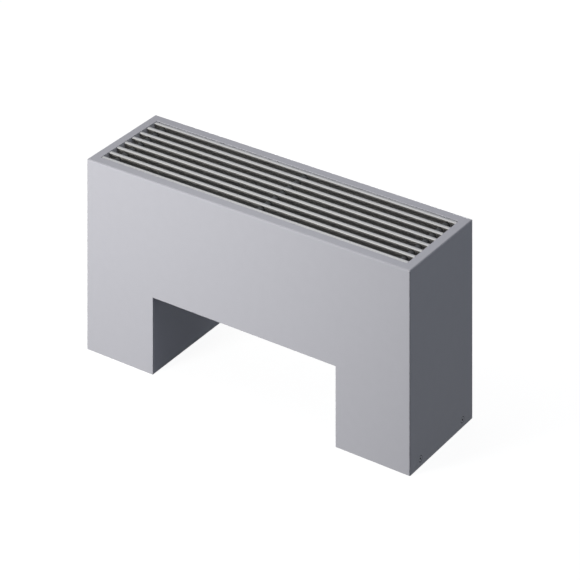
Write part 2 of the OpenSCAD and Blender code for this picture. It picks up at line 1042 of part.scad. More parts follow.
// Pipe from a floor connection up to a valve whose outlet is at the stated height
module riser(side, outlet_z) {
    base = connector_mouth - socket_length + stop_gap;
    top = outlet_z - valve_mouth + socket_length - stop_gap;
    color(copper)
    translate([valve_x, side * tube_spacing / 2, base])
        difference() {
            cylinder(r = tube_r, h = top - base);
            translate([0, 0, -over])
                cylinder(r = tube_r - tube_wall, h = top - base + 2 * over);
        }
}

module flow_riser() {
    riser(-1, row_high_z);
}

module return_riser() {
    riser(1, row_low_z);
}

// Floor connection with a female thread that opens downwards
module connector(side) {
    color(nickel)
    translate([valve_x, side * tube_spacing / 2, bracket_z])
        difference() {
            union() {
                translate([0, 0, -connector_height])
                    nut_blank(connector_af, connector_height);
                cylinder(r = neck_r, h = connector_neck);
            }
            translate([0, 0, -connector_height - over])
                cylinder(r = connector_bore_r, h = connector_depth + over);
            translate([0, 0, -connector_height])
                cylinder(r = passage_r, h = connector_height + connector_neck);
            translate([0, 0, connector_neck - socket_length])
                cylinder(r = tube_r + fit_gap, h = socket_length + over);
        }
}

module flow_connector() {
    connector(-1);
}

module return_connector() {
    connector(1);
}

module connector_locknuts() {
    color(brass)
    for (side = [-1, 1])
        translate([valve_x, side * tube_spacing / 2, bracket_z + bracket_plate])
            difference() {
                nut_blank(connector_af, locknut_height);
                translate([0, 0, -over])
                    cylinder(r = neck_r + thread_gap, h = locknut_height + 2 * over);
            }
}

// Folded outline of the pipe bracket, seen from the front
module bracket_outline() {
    r_out = bracket_bend + bracket_plate;
    reach = inner_half_length - web_outer_x - foot_window_inset;
    translate([r_out, 0])
        square([reach - r_out, bracket_plate]);
    translate([0, r_out])
        square([bracket_plate, bracket_flange_height - r_out]);
    translate([r_out, r_out])
        bend_outline(bracket_bend, bracket_plate);
}

// Angle bracket on the left upright that holds both floor connections
module pipe_bracket() {
    color(zinc)
    difference() {
        mirror([1, 0, 0])
            translate([web_outer_x, 0, bracket_z])
                rotate([90, 0, 0])
                    linear_extrude(bracket_depth, center = true)
                        bracket_outline();
        for (side = [-1, 1])
            translate([valve_x, side * tube_spacing / 2, bracket_z - over])
                cylinder(r = neck_r + thread_gap, h = bracket_plate + 2 * over);
        for (side = [-1, 1])
            translate([-web_outer_x - bracket_plate - over, side * bracket_screw_y, bracket_screw_z])
                rod_along_x(bracket_screw_r + thread_gap, bracket_plate + 2 * over);
    }
}

module bracket_screws() {
    color(steel)
    for (side = [-1, 1])
        translate([-web_outer_x - bracket_plate, side * bracket_screw_y, bracket_screw_z]) {
            rod_along_x(bracket_screw_r, bracket_screw_length);
            translate([-bracket_screw_head, 0, 0])
                difference() {
                    rod_along_x(bracket_screw_head_r, bracket_screw_head);
                    translate([-over, 0, 0])
                        rotate([0, 90, 0])
                            hex_prism(socket_af, socket_depth + over);
                }
        }
}

// Rubber strip on the right ledge, under the bars' ends
module grille_pad() {
    color(rubber)
    translate([opening_length / 2 - pad_width, -opening_depth / 2, ledge_top])
        cube([pad_width, opening_depth, pad_thick]);
}

module grille_pad_right() {
    grille_pad();
}

module grille_pad_left() {
    mirror([1, 0, 0])
        grille_pad();
}

// Outline of a bar, seen along X, its foot on the base line: a foot, a web and
// a head with a rounded top
module bar_outline() {
    head = bar_edge + bar_crown;
    translate([-bar_foot_width / 2, 0])
        square([bar_foot_width, bar_foot]);
    translate([-bar_web / 2, 0])
        square([bar_web, bar_height - bar_crown]);
    intersection() {
        translate([0, bar_height - crown_r])
            circle(crown_r, $fn = 96);
        translate([-bar_width / 2, bar_height - head])
            square([bar_width, head]);
    }
}

// One grille bar, counted from the front
module grille_bar(number) {
    color(anodised)
    translate([0, -outer_bar_y + (number - 1) * bar_pitch, 0])
        difference() {
            translate([-bar_length / 2, 0, bar_base])
                rotate([90, 0, 90])
                    linear_extrude(bar_length)
                        bar_outline();
            for (x = rod_places)
                translate([x, 0, rod_z])
                    rotate([90, 0, 0])
                        cylinder(r = rod_d / 2 + fit_gap, h = bar_web + 2 * over, center = true);
        }
}

// Tie rod through all the bars, at the stated place along the grille
module tie_rod(x) {
    length = opening_depth - 2 * rod_end_gap;
    color(steel)
    translate([x, 0, rod_z])
        rotate([90, 0, 0])
            cylinder(d = rod_d, h = length, center = true);
}

module tie_rod_left() {
    tie_rod(-rod_x);
}

module tie_rod_middle() {
    tie_rod(middle_rod_shift);
}

module tie_rod_right() {
    tie_rod(rod_x);
}

// Spacer tubes on one tie rod, between the webs of the bars
module spacers(x) {
    color(anodised)
    for (i = [1 : bar_count - 1])
        translate([x, -outer_bar_y + (i - 1 / 2) * bar_pitch, rod_z])
            rotate([90, 0, 0])
                difference() {
                    cylinder(d = spacer_d, h = spacer_length, center = true);
                    cylinder(r = rod_d / 2 + fit_gap, h = spacer_length + 2 * over, center = true);
                }
}

module spacers_left() {
    spacers(-rod_x);
}

module spacers_middle() {
    spacers(middle_rod_shift);
}

module spacers_right() {
    spacers(rod_x);
}

module rod_nuts() {
    color(steel)
    for (x = rod_places, back = [0, 1])
        mirror([0, back, 0])
            translate([x, -outer_bar_y - bar_web / 2, rod_z])
                rotate([90, 0, 0])
                    difference() {
                        nut_blank(nut_af, rod_nut_height);
                        translate([0, 0, -over])
                            cylinder(r = rod_d / 2 + fit_gap, h = rod_nut_height + 2 * over);
                    }
}

front_panel();
back_panel();
side_panel_left();
side_panel_right();
grille_frame();
inner_leg_panel_left();
inner_leg_panel_right();
stand_left();
stand_right();
casing_screws();
casing_nuts();
fin_block();
tube_front_lower();
tube_front_upper();
tube_back_lower();
tube_back_upper();
return_bend_lower();
return_bend_upper();
tube_grommets_left();
tube_grommets_right();
flow_header();
return_header();
drain_plug();
bleed_valve_body();
bleed_screw();
flow_valve_body();
flow_valve_insert();
valve_pin();
hand_cap();
return_valve_body();
return_valve_bonnet();
ball_spindle();
lockshield_cap();
union_nuts();
flow_riser();
return_riser();
riser_nuts();
flow_connector();
return_connector();
connector_locknuts();
pipe_bracket();
bracket_screws();
grille_pad_left();
grille_pad_right();
grille_bar(1);  // grille_bar_1
grille_bar(2);  // grille_bar_2
grille_bar(3);  // grille_bar_3
grille_bar(4);  // grille_bar_4
grille_bar(5);  // grille_bar_5
grille_bar(6);  // grille_bar_6
grille_bar(7);  // grille_bar_7
grille_bar(8);  // grille_bar_8
tie_rod_left();
tie_rod_middle();
tie_rod_right();
spacers_left();
spacers_middle();
spacers_right();
rod_nuts();
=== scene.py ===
import json
from math import atan, cos, pi, radians, sin, sqrt

import bpy
from mathutils import Matrix, Vector


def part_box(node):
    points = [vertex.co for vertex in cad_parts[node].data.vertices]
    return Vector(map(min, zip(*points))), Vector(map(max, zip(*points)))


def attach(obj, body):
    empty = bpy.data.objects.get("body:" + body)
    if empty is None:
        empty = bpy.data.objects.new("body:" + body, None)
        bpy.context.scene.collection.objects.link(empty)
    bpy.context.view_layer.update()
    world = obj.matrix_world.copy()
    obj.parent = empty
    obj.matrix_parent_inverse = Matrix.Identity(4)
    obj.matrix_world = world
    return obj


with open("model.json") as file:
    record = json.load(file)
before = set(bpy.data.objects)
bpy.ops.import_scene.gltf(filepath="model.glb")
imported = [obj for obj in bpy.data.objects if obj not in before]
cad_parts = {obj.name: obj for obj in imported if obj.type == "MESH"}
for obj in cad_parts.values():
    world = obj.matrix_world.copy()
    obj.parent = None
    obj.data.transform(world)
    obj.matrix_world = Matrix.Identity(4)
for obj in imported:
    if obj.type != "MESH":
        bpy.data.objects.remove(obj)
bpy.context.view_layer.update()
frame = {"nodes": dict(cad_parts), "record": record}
record = frame["record"]

# Paints and metals, and colours of painted light and shade, as linear colours
PAINT_GREY = (0.54, 0.535, 0.565)
# A bluer grey for the leg panels: painted shade of the legs' inner walls
LEG_PANEL_SHADE_BLUE = (0.518, 0.53, 0.595)
ZINC_GREY = (0.60, 0.61, 0.63)
ZINC_RUBBED = (0.80, 0.80, 0.81)
STEEL_GREY = (0.56, 0.56, 0.58)
STEEL_DULL = (0.36, 0.36, 0.37)
FIN_WHITE = (0.84, 0.85, 0.86)
BAR_SILVER = (0.66, 0.652, 0.635)
# Lighter silver for the front bar only: painted light against the shade that the rim casts on it
FRONT_BAR_PAINTED_LIGHT = (0.78, 0.77, 0.75)
# Near-black for the spacers: painted shade for their place in the grille's dark gaps
SPACER_PAINTED_SHADE = (0.10, 0.10, 0.10)
# Near-black painted shade for the sunk edges and sockets of the screw heads
HEAD_SHADE = (0.05, 0.05, 0.055)
# Dark grey painted shade for the bars' webs, standing in for the shade in the grille's gaps
WEB_PAINTED_SHADE = (0.335, 0.32, 0.295)
COPPER_RED = (0.84, 0.44, 0.29)
COPPER_BROWN = (0.42, 0.20, 0.12)
BRASS_YELLOW = (0.80, 0.60, 0.28)
BRASS_BROWN = (0.42, 0.28, 0.12)
NICKEL_WARM = (0.70, 0.67, 0.61)
NICKEL_DULL = (0.46, 0.44, 0.40)
RUBBER_BLACK = (0.030, 0.030, 0.032)
CAP_WHITE = (0.78, 0.78, 0.75)
DUST_GREY = (0.38, 0.36, 0.33)
SCORCHED = (0.24, 0.11, 0.09)
BRAZE_FRESH = (0.74, 0.66, 0.50)
BRAZE_DULL = (0.34, 0.27, 0.20)
WHITE = (1.0, 1.0, 1.0)

# Finishes and painted shade: heights and distances in metres, the rest as shares
# The bars' heads end at this height; below it the webs get painted shade, faded in over the next distance
HEAD_BOTTOM = 0.2987
WEB_SHADE_FADE = 0.0002
EDGE_FADE = 0.0004
SOCKET_FADE = 0.0003
BAR_METALLIC = 0.25
PAINT_SPECULAR = 0.3
RUBBED_SHARE = 1.15

# Where most of a noise's values lie, and how far noise bends the edges of zinc crystals
NOISE_SPAN = (0.3, 0.7)
SPANGLE_BEND = (0.006, 0.006, 0.006)

# How squarely a normal must face a way to count as part of a flat face
STILL_FLAT = 0.995

# The camera has an upright film plane that is slid down, as on a view camera:
# uprights stay parallel while it looks down on the object
HEIGHT = 0.3
CAMERA_YAW = radians(34.26)
FOCAL_PIXELS = 2843.3
HORIZON_PIXELS = 1509.9
FRAME_PIXELS = 580.0
SENSOR_MM = 36.0
CAMERA_PLACE = Vector((8.309, -12.068, 8.257)) * HEIGHT

# Water circuit, in metres, as in the source
TUBE_R = 0.0075
STUB_R = 0.008
HEADER_X = -0.232
HEADER_R = 0.011
ROW_Y = 0.0375
ROW_LOW = 0.1495
ROW_HIGH = 0.1845
CUP_MOUTH_X = 0.2197
CUP_R = 0.00855
LEFT_JOINT = HEADER_X + HEADER_R
RIGHT_JOINT = CUP_MOUTH_X

# Beads of brazing, in metres, and the points round a bead and round its section
BEAD_R = 0.0009
BEND_BEAD_R = 0.75 * BEAD_R
RING_STEPS = 48
SECTION_STEPS = 10

# Unevenness of a bead, as shares of its thickness, and its turn from bead to bead
BROAD_RIPPLE = 0.12
FINE_RIPPLE = 0.08
RIPPLE_SHIFT = 900

# The casing's screws, from the box of their node
head_low, head_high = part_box("casing_screws")
SCREW_Z = (head_low[2] + head_high[2]) / 2
SCREW_Y = head_high[1] - (head_high[2] - head_low[2]) / 2

# Lamps, surroundings and floor
KEY_PLACE = Vector((-0.600, -1.480, 0.559))
KEY_SIZE = (0.5, 0.5)
KEY_WATTS = 21.5
TOP_PLACE = Vector((0.03, -0.20, 1.05))
TOP_SIZE = (0.3, 0.3)
TOP_WATTS = 1.45
BACK_PLACE = Vector((-0.55, 1.45, 0.17))
BACK_SIZE = (1.2, 0.2)
BACK_WATTS = 11.0
SIDE_PLACE = Vector((1.25, 0.06, 0.95))
SIDE_SIZE = (0.6, 0.6)
SIDE_WATTS = 0.90
AMBIENT = 0.083
OVERHEAD = 0.505
OVERHEAD_START = 0.52
OVERHEAD_FULL = 0.80
LIT_SIDE_RISE = 0.3
MIRROR_REACH = 0.9
MIRROR_DARK = 0.18
COOL_TINT = (0.84, 0.98, 1.18)
OVERHEAD_TINT = (1.01, 0.99, 1.01)
FLOOR_SIZE = 60.0
FLOOR_BOUNCE = (0.008, 0.014, 0.030)
FLOOR_TINT = 0.15
FLOOR_GLOW = 0.93


def colour(rgb):
    return (*rgb, 1.0)


def node(tree, kind, inputs=None, **settings):
    """Adds a shader node, sets its fields, and sets or links its inputs."""
    made = tree.nodes.new("ShaderNode" + kind)
    for name, value in settings.items():
        setattr(made, name, value)
    for socket, value in (inputs or {}).items():
        if isinstance(value, bpy.types.NodeSocket):
            tree.links.new(value, made.inputs[socket])
        else:
            made.inputs[socket].default_value = value
    return made


def math(tree, operation, *values, clamp=False):
    return node(tree, "Math", dict(enumerate(values)), operation=operation, use_clamp=clamp).outputs[0]


def ramp(tree, value, low, high, out_low=0.0, out_high=1.0):
    """Maps value from low..high to out_low..out_high, held at both ends."""
    places = {0: value, 1: low, 2: high, 3: out_low, 4: out_high}
    return node(tree, "MapRange", places, clamp=True).outputs[0]


def blend_colour(tree, share, first, second):
    sockets = {0: share, 6: first, 7: second}
    return node(tree, "Mix", sockets, data_type="RGBA").outputs[2]


def blend_value(tree, share, first, second):
    return ramp(tree, share, 0.0, 1.0, first, second)


def shaded(rgb, share):
    """A lighter or darker shade of a colour, as a socket's value."""
    return colour(tuple(min(1.0, share * part) for part in rgb))


def effect(name, inputs, outputs, build):
    """Makes a node group for one surface effect, with named inputs and outputs."""
    tree = bpy.data.node_groups.new(name, "ShaderNodeTree")
    for label, (kind, value) in inputs.items():
        socket = tree.interface.new_socket(label, in_out="INPUT", socket_type="NodeSocket" + kind)
        socket.default_value = value
    for label in outputs:
        tree.interface.new_socket(label, in_out="OUTPUT", socket_type="NodeSocketFloat")
    entry = tree.nodes.new("NodeGroupInput")
    leave = tree.nodes.new("NodeGroupOutput")
    results = build(tree, {label: entry.outputs[label] for label in inputs})
    for label, result in zip(outputs, results):
        tree.links.new(result, leave.inputs[label])
    return tree


def place_on_object(tree):
    return node(tree, "TexCoord").outputs["Object"]


def build_grain(tree, given):
    """Fine pimples of a powder coat or a moulded skin."""
    place = place_on_object(tree)
    fine = node(tree, "TexNoise", {"Vector": place, "Scale": given["Scale"], "Detail": 2.0})
    broad_scale = math(tree, "MULTIPLY", given["Scale"], 0.06)
    broad = node(tree, "TexNoise", {"Vector": place, "Scale": broad_scale, "Detail": 3.0})
    return fine.outputs[0], ramp(tree, broad.outputs[0], *NOISE_SPAN)


def build_drawn_lines(tree, given):
    """Lines left by drawing or rolling, long along one axis."""
    place = place_on_object(tree)
    stretched = node(tree, "VectorMath", {0: place, 1: given["Stretch"]}, operation="MULTIPLY").outputs[0]
    lines = node(tree, "TexNoise", {"Vector": stretched, "Scale": given["Scale"], "Detail": 3.0})
    return lines.outputs[0], ramp(tree, lines.outputs[0], 0.35, 0.65)


def build_spangle(tree, given):
    """The crystal pattern of a hot-dip zinc coat."""
    place = place_on_object(tree)
    bent = node(tree, "TexNoise", {"Vector": place, "Scale": given["Scale"], "Detail": 2.0})
    shift = node(tree, "VectorMath", {0: bent.outputs[1], 1: SPANGLE_BEND}, operation="MULTIPLY")
    moved = node(tree, "VectorMath", {0: place, 1: shift.outputs[0]}, operation="ADD")
    cells = node(tree, "TexVoronoi", {"Vector": moved.outputs[0], "Scale": given["Scale"]})
    tone = node(tree, "SeparateColor", {0: cells.outputs["Color"]}).outputs[0]
    return tone, ramp(tree, cells.outputs["Distance"], 0.0, 0.8)


def build_turning(tree, given):
    """Rings that a lathe leaves, round an upright axis."""
    upright = node(tree, "SeparateXYZ", {0: place_on_object(tree)}).outputs[2]
    height = math(tree, "MULTIPLY", upright, given["Rings"])
    rings = node(tree, "TexNoise", {"W": height, "Scale": 1.0, "Detail": 2.0}, noise_dimensions="1D")
    return (rings.outputs[0],)


def build_tarnish(tree, given):
    """Soft patches where bare metal has dulled."""
    place = place_on_object(tree)
    sockets = {"Vector": place, "Scale": given["Scale"], "Detail": 5.0, "Roughness": 0.62}
    shade = ramp(tree, node(tree, "TexNoise", sockets).outputs[0], 0.42, 0.68)
    return (math(tree, "MULTIPLY", shade, given["Amount"], clamp=True),)


def build_heat(tree, given):
    """Darkened bands along X on both sides of where a torch has heated a joint."""
    place = place_on_object(tree)
    along = node(tree, "SeparateXYZ", {0: place}).outputs[0]
    left = math(tree, "ABSOLUTE", math(tree, "SUBTRACT", along, given["Left joint"]))
    right = math(tree, "ABSOLUTE", math(tree, "SUBTRACT", along, given["Right joint"]))
    uneven = node(tree, "TexNoise", {"Vector": place, "Scale": 120.0, "Detail": 3.0}).outputs[0]
    nearest = math(tree, "MINIMUM", left, right)
    reach = math(tree, "MULTIPLY", nearest, ramp(tree, uneven, *NOISE_SPAN, 0.7, 1.4))
    return (ramp(tree, reach, given["Width"], 0.0),)


def build_edge_wear(tree, given):
    """Finds convex edges, broken up by noise."""
    rounded = node(tree, "Bevel", {"Radius": given["Radius"]}, samples=4).outputs[0]
    straight = node(tree, "NewGeometry").outputs["Normal"]
    along = node(tree, "VectorMath", {0: rounded, 1: straight}, operation="DOT_PRODUCT").outputs["Value"]
    edge = ramp(tree, along, STILL_FLAT, 0.80)
    patches = node(tree, "TexNoise", {"Vector": place_on_object(tree), "Scale": 90.0, "Detail": 4.0})
    broken = ramp(tree, patches.outputs[0], 0.40, 0.62)
    worn = math(tree, "MULTIPLY", edge, broken)
    return (math(tree, "MULTIPLY", worn, given["Amount"], clamp=True),)


def build_folds(tree, given):
    """Finds the bends of a box-shaped sheet part, where no axis faces straight out."""
    straight = node(tree, "NewGeometry").outputs["Normal"]
    local = node(tree, "VectorTransform", {0: straight}, vector_type="NORMAL",
                 convert_from="WORLD", convert_to="OBJECT").outputs[0]
    sizes = node(tree, "VectorMath", {0: local}, operation="ABSOLUTE").outputs[0]
    parts = node(tree, "SeparateXYZ", {0: sizes}).outputs
    largest = math(tree, "MAXIMUM", parts[0], math(tree, "MAXIMUM", parts[1], parts[2]))
    bend = ramp(tree, largest, STILL_FLAT, 0.85)
    return (math(tree, "MULTIPLY", bend, given["Amount"], clamp=True),)


def build_head_shade(tree, given):
    """Finds the sunk edge and the socket of the casing's screws, by distance from a screw's axis, for
    painted shade.
    """
    place = node(tree, "SeparateXYZ", {0: place_on_object(tree)}).outputs
    across = math(tree, "SUBTRACT", math(tree, "ABSOLUTE", place[1]), given["Screw y"])
    up = math(tree, "SUBTRACT", place[2], given["Screw z"])
    squares = math(tree, "ADD", math(tree, "POWER", across, 2.0), math(tree, "POWER", up, 2.0))
    away = math(tree, "SQRT", squares)
    edge = ramp(tree, away, given["Edge"], math(tree, "ADD", given["Edge"], EDGE_FADE))
    socket = ramp(tree, away, given["Socket"], math(tree, "SUBTRACT", given["Socket"], SOCKET_FADE))
    return (math(tree, "MAXIMUM", edge, socket),)


def build_dust(tree, given):
    """Dust that settles on what faces up."""
    normal = node(tree, "SeparateXYZ", {0: node(tree, "NewGeometry").outputs["Normal"]}).outputs[2]
    level = ramp(tree, normal, 0.55, 0.95)
    place = place_on_object(tree)
    patches = node(tree, "TexNoise", {"Vector": place, "Scale": 38.0, "Detail": 6.0, "Roughness": 0.65})
    specks = node(tree, "TexNoise", {"Vector": place, "Scale": 1500.0, "Detail": 1.0})
    layer = ramp(tree, patches.outputs[0], 0.35, 0.75)
    cover = math(tree, "MULTIPLY", layer, ramp(tree, specks.outputs[0], 0.3, 0.6))
    settled = math(tree, "MULTIPLY", level, cover)
    return (math(tree, "MULTIPLY", settled, given["Amount"], clamp=True),)


GRAIN = effect("grain", {"Scale": ("Float", 900.0)}, ["Height", "Patches"], build_grain)
DRAWN = effect("drawn lines", {"Stretch": ("Vector", (1.0, 40.0, 40.0)), "Scale": ("Float", 60.0)},
               ["Height", "Lines"], build_drawn_lines)
SPANGLE = effect("zinc spangle", {"Scale": ("Float", 160.0)}, ["Tone", "Height"], build_spangle)
TURNING = effect("turning marks", {"Rings": ("Float", 2600.0)}, ["Height"], build_turning)
TARNISH = effect("tarnish", {"Scale": ("Float", 30.0), "Amount": ("Float", 0.5)}, ["Mask"], build_tarnish)
HEAT = effect("heat marks", {"Left joint": ("Float", LEFT_JOINT), "Right joint": ("Float", RIGHT_JOINT),
                            "Width": ("Float", 0.012)}, ["Mask"], build_heat)
EDGE_WEAR = effect("edge wear", {"Radius": ("Float", 0.0006), "Amount": ("Float", 0.5)},
                   ["Mask"], build_edge_wear)
FOLDS = effect("folds", {"Amount": ("Float", 0.5)}, ["Mask"], build_folds)
DUST = effect("dust", {"Amount": ("Float", 0.3)}, ["Mask"], build_dust)
HEAD_SHADE_MASK = effect("screw head marks", {"Screw y": ("Float", SCREW_Y), "Screw z": ("Float", SCREW_Z),
                                         "Edge": ("Float", 0.0038), "Socket": ("Float", 0.0019)},
                    ["Mask"], build_head_shade)


def use(tree, group, **values):
    """Places an effect in a material with its own values, and returns its outputs."""
    placed = node(tree, "Group", node_tree=group)
    for label, value in values.items():
        placed.inputs[label].default_value = value
    return placed.outputs


def new_material(name):
    material = bpy.data.materials.new(name)
    material.use_nodes = True
    tree = material.node_tree
    shader = tree.nodes["Principled BSDF"]
    return material, tree, shader


def feed(tree, shader, **values):
    """Sets the shader's own sockets, or links what changes over the surface."""
    for label, value in values.items():
        socket = shader.inputs[label.replace("_", " ")]
        if isinstance(value, bpy.types.NodeSocket):
            tree.links.new(value, socket)
        else:
            socket.default_value = value


def bump(tree, shader, height, distance):
    """Turns a height, in units of distance metres, into the shader's normal."""
    made = node(tree, "Bump", {"Height": height, "Distance": distance, "Strength": 1.0})
    tree.links.new(made.outputs[0], shader.inputs["Normal"])


def powder_coat(name, base):
    """Satin powder coat: fine grain, and painted shade along its folds."""
    material, tree, shader = new_material(name)
    grain = use(tree, GRAIN, Scale=1100.0)
    folds = use(tree, FOLDS, Amount=0.8)["Mask"]
    tone = blend_colour(tree, grain["Patches"], shaded(base, 0.992), shaded(base, 1.008))
    # Painted shade: the bends are darker, keeping them from catching light
    feed(tree, shader, Base_Color=blend_colour(tree, folds, tone, shaded(base, 0.74)),
         Roughness=ramp(tree, grain["Height"], *NOISE_SPAN, 0.50, 0.60),
         Metallic=0.0, Specular_IOR_Level=PAINT_SPECULAR)
    bump(tree, shader, grain["Height"], distance=0.00003)
    return material


def painted_heads(name, base):
    """Painted screw heads, with painted shade round their sunk edge and in the socket."""
    material, tree, shader = new_material(name)
    grain = use(tree, GRAIN, Scale=1100.0)
    painted_shade = use(tree, HEAD_SHADE_MASK)["Mask"]
    tone = blend_colour(tree, grain["Patches"], colour(base), shaded(base, 1.12))
    # Painted shade: near-black round the sunk edge and in the socket
    feed(tree, shader, Base_Color=blend_colour(tree, painted_shade, tone, colour(HEAD_SHADE)),
         Roughness=blend_value(tree, painted_shade, 0.45, 0.75),
         Metallic=0.0, Specular_IOR_Level=PAINT_SPECULAR)
    bump(tree, shader, grain["Height"], distance=0.00003)
    return material


def drawn_aluminium(name, base, roughness, shade_top):
    """Anodised bar with lengthwise lines, dark grey up to a height above the floor as painted shade of the
    gaps.
    """
    material, tree, shader = new_material(name)
    lines = use(tree, DRAWN, Stretch=(1.0, 90.0, 90.0), Scale=40.0)
    height = node(tree, "SeparateXYZ", {0: place_on_object(tree)}).outputs[2]
    # Painted shade: below the given height the bar is dark grey and not metallic, for the shade between the
    # bars
    web_shade = ramp(tree, height, shade_top, shade_top - WEB_SHADE_FADE)
    tone = blend_colour(tree, lines["Lines"], shaded(base, 0.95), colour(base))
    feed(tree, shader, Base_Color=blend_colour(tree, web_shade, tone, colour(WEB_PAINTED_SHADE)),
         Metallic=blend_value(tree, web_shade, BAR_METALLIC, 0.0),
         Roughness=ramp(tree, lines["Height"], *NOISE_SPAN, roughness - 0.04, roughness + 0.06))
    bump(tree, shader, lines["Height"], distance=0.000015)
    return material


def rolled_fins(name, base):
    """Thin rolled aluminium, with dust on its upper edges."""
    material, tree, shader = new_material(name)
    lines = use(tree, DRAWN, Stretch=(60.0, 1.0, 14.0), Scale=60.0)
    dust = use(tree, DUST, Amount=0.8)["Mask"]
    tone = blend_colour(tree, lines["Lines"], shaded(base, 0.86), colour(base))
    feed(tree, shader, Base_Color=blend_colour(tree, dust, tone, colour(DUST_GREY)),
         Metallic=blend_value(tree, dust, 1.0, 0.1),
         Roughness=blend_value(tree, dust, 0.34, 0.9))
    bump(tree, shader, lines["Height"], distance=0.00003)
    return material


def galvanised(name, base):
    """Zinc coated sheet with its spangle, dusty where it lies flat."""
    material, tree, shader = new_material(name)
    spangle = use(tree, SPANGLE, Scale=170.0)
    dust = use(tree, DUST, Amount=0.6)["Mask"]
    wear = use(tree, EDGE_WEAR, Radius=0.0006, Amount=0.6)["Mask"]
    tone = blend_colour(tree, spangle["Tone"], shaded(base, 0.80), shaded(base, 1.12))
    bright = blend_colour(tree, wear, tone, colour(ZINC_RUBBED))
    feed(tree, shader, Base_Color=blend_colour(tree, dust, bright, colour(DUST_GREY)),
         Metallic=blend_value(tree, dust, 0.9, 0.1),
         Roughness=blend_value(tree, spangle["Tone"], 0.34, 0.52))
    bump(tree, shader, spangle["Height"], distance=0.00004)
    return material


def bare_metal(name, fresh, dull, roughness, stretch, patches):
    """Drawn metal that has dulled in patches and where it was brazed."""
    material, tree, shader = new_material(name)
    lines = use(tree, DRAWN, Stretch=stretch, Scale=50.0)
    tarnish = use(tree, TARNISH, Scale=patches, Amount=0.75)["Mask"]
    wear = use(tree, EDGE_WEAR, Radius=0.0004, Amount=0.8)["Mask"]
    dust = use(tree, DUST, Amount=0.5)["Mask"]
    tone = blend_colour(tree, tarnish, colour(fresh), colour(dull))
    rubbed = blend_colour(tree, wear, tone, shaded(fresh, RUBBED_SHARE))
    scorched = blend_colour(tree, use(tree, HEAT)["Mask"], rubbed, colour(SCORCHED))
    feed(tree, shader, Base_Color=blend_colour(tree, dust, scorched, colour(DUST_GREY)),
         Metallic=blend_value(tree, dust, 1.0, 0.2),
         Roughness=blend_value(tree, tarnish, roughness, roughness + 0.22))
    bump(tree, shader, lines["Height"], distance=0.00002)
    return material


def turned_metal(name, fresh, dull, roughness):
    """Fittings turned on a lathe about an upright axis."""
    material, tree, shader = new_material(name)
    rings = use(tree, TURNING, Rings=2600.0)["Height"]
    tarnish = use(tree, TARNISH, Scale=70.0, Amount=0.6)["Mask"]
    wear = use(tree, EDGE_WEAR, Radius=0.0004, Amount=0.8)["Mask"]
    dust = use(tree, DUST, Amount=0.5)["Mask"]
    tone = blend_colour(tree, tarnish, colour(fresh), colour(dull))
    rubbed = blend_colour(tree, wear, tone, shaded(fresh, RUBBED_SHARE))
    feed(tree, shader, Base_Color=blend_colour(tree, dust, rubbed, colour(DUST_GREY)),
         Metallic=blend_value(tree, dust, 1.0, 0.2),
         Roughness=blend_value(tree, tarnish, roughness, roughness + 0.2))
    bump(tree, shader, rings, distance=0.00002)
    return material


def moulded(name, base, roughness, grain_scale, depth):
    """Moulded rubber or plastic, with a fine skin and a little dust."""
    material, tree, shader = new_material(name)
    grain = use(tree, GRAIN, Scale=grain_scale)
    dust = use(tree, DUST, Amount=0.45)["Mask"]
    tone = blend_colour(tree, grain["Patches"], shaded(base, 0.92), shaded(base, 1.05))
    feed(tree, shader, Base_Color=blend_colour(tree, dust, tone, colour(DUST_GREY)), Metallic=0.0,
         Roughness=ramp(tree, grain["Height"], *NOISE_SPAN, roughness - 0.06, roughness + 0.08))
    bump(tree, shader, grain["Height"], depth)
    return material


# Stretch of the lines on tubes drawn along X
ALONG_X = (1.0, 70.0, 70.0)

BRAZING = turned_metal("brazing alloy", BRAZE_FRESH, BRAZE_DULL, roughness=0.34)
MATERIALS = {
    "casing_paint": powder_coat("casing paint", PAINT_GREY),
    "leg_panel_paint": powder_coat("leg panel paint, bluer as painted shade", LEG_PANEL_SHADE_BLUE),
    "screw_paint": painted_heads("screw paint", PAINT_GREY),
    "galvanised_plate": galvanised("galvanised plate", ZINC_GREY),
    "steel_fasteners": turned_metal("zinc plated steel", STEEL_GREY, STEEL_DULL, roughness=0.30),
    "fin_aluminium": rolled_fins("fin aluminium", FIN_WHITE),
    "copper_tube": bare_metal("copper", COPPER_RED, COPPER_BROWN, roughness=0.24,
                              stretch=ALONG_X, patches=26.0),
    "brass_fittings": turned_metal("brass", BRASS_YELLOW, BRASS_BROWN, roughness=0.22),
    "nickel_fittings": turned_metal("nickel plate", NICKEL_WARM, NICKEL_DULL, roughness=0.18),
    "black_rubber": moulded("black rubber", RUBBER_BLACK, roughness=0.72,
                            grain_scale=1600.0, depth=0.00003),
    "cap_plastic": moulded("cap plastic", CAP_WHITE, roughness=0.42,
                           grain_scale=2400.0, depth=0.00001),
    "anodised_bars": drawn_aluminium("anodised bars", BAR_SILVER, roughness=0.48, shade_top=HEAD_BOTTOM),
    # The front bar is painted lighter than the others, as painted light against the rim's shade
    "front_bar_lightened": drawn_aluminium("front bar, lightened as painted light", FRONT_BAR_PAINTED_LIGHT, roughness=0.44,
                                 shade_top=HEAD_BOTTOM),
    "anodised_spacers": drawn_aluminium("anodised spacers, darkened as painted shade", SPACER_PAINTED_SHADE, roughness=0.50, shade_top=0.0),
}
NODE_LOOKS = {"casing_screws": "screw_paint", "grille_bar_1": "front_bar_lightened"}


def dress_cad_nodes():
    """Gives each CAD node the material of its slot, or its own."""
    for row in record["subparts"]:
        cad_node = frame["nodes"][row["node"]]
        cad_node.data.materials.clear()
        look = NODE_LOOKS.get(row["node"], row["material_slot"])
        cad_node.data.materials.append(MATERIALS[look])


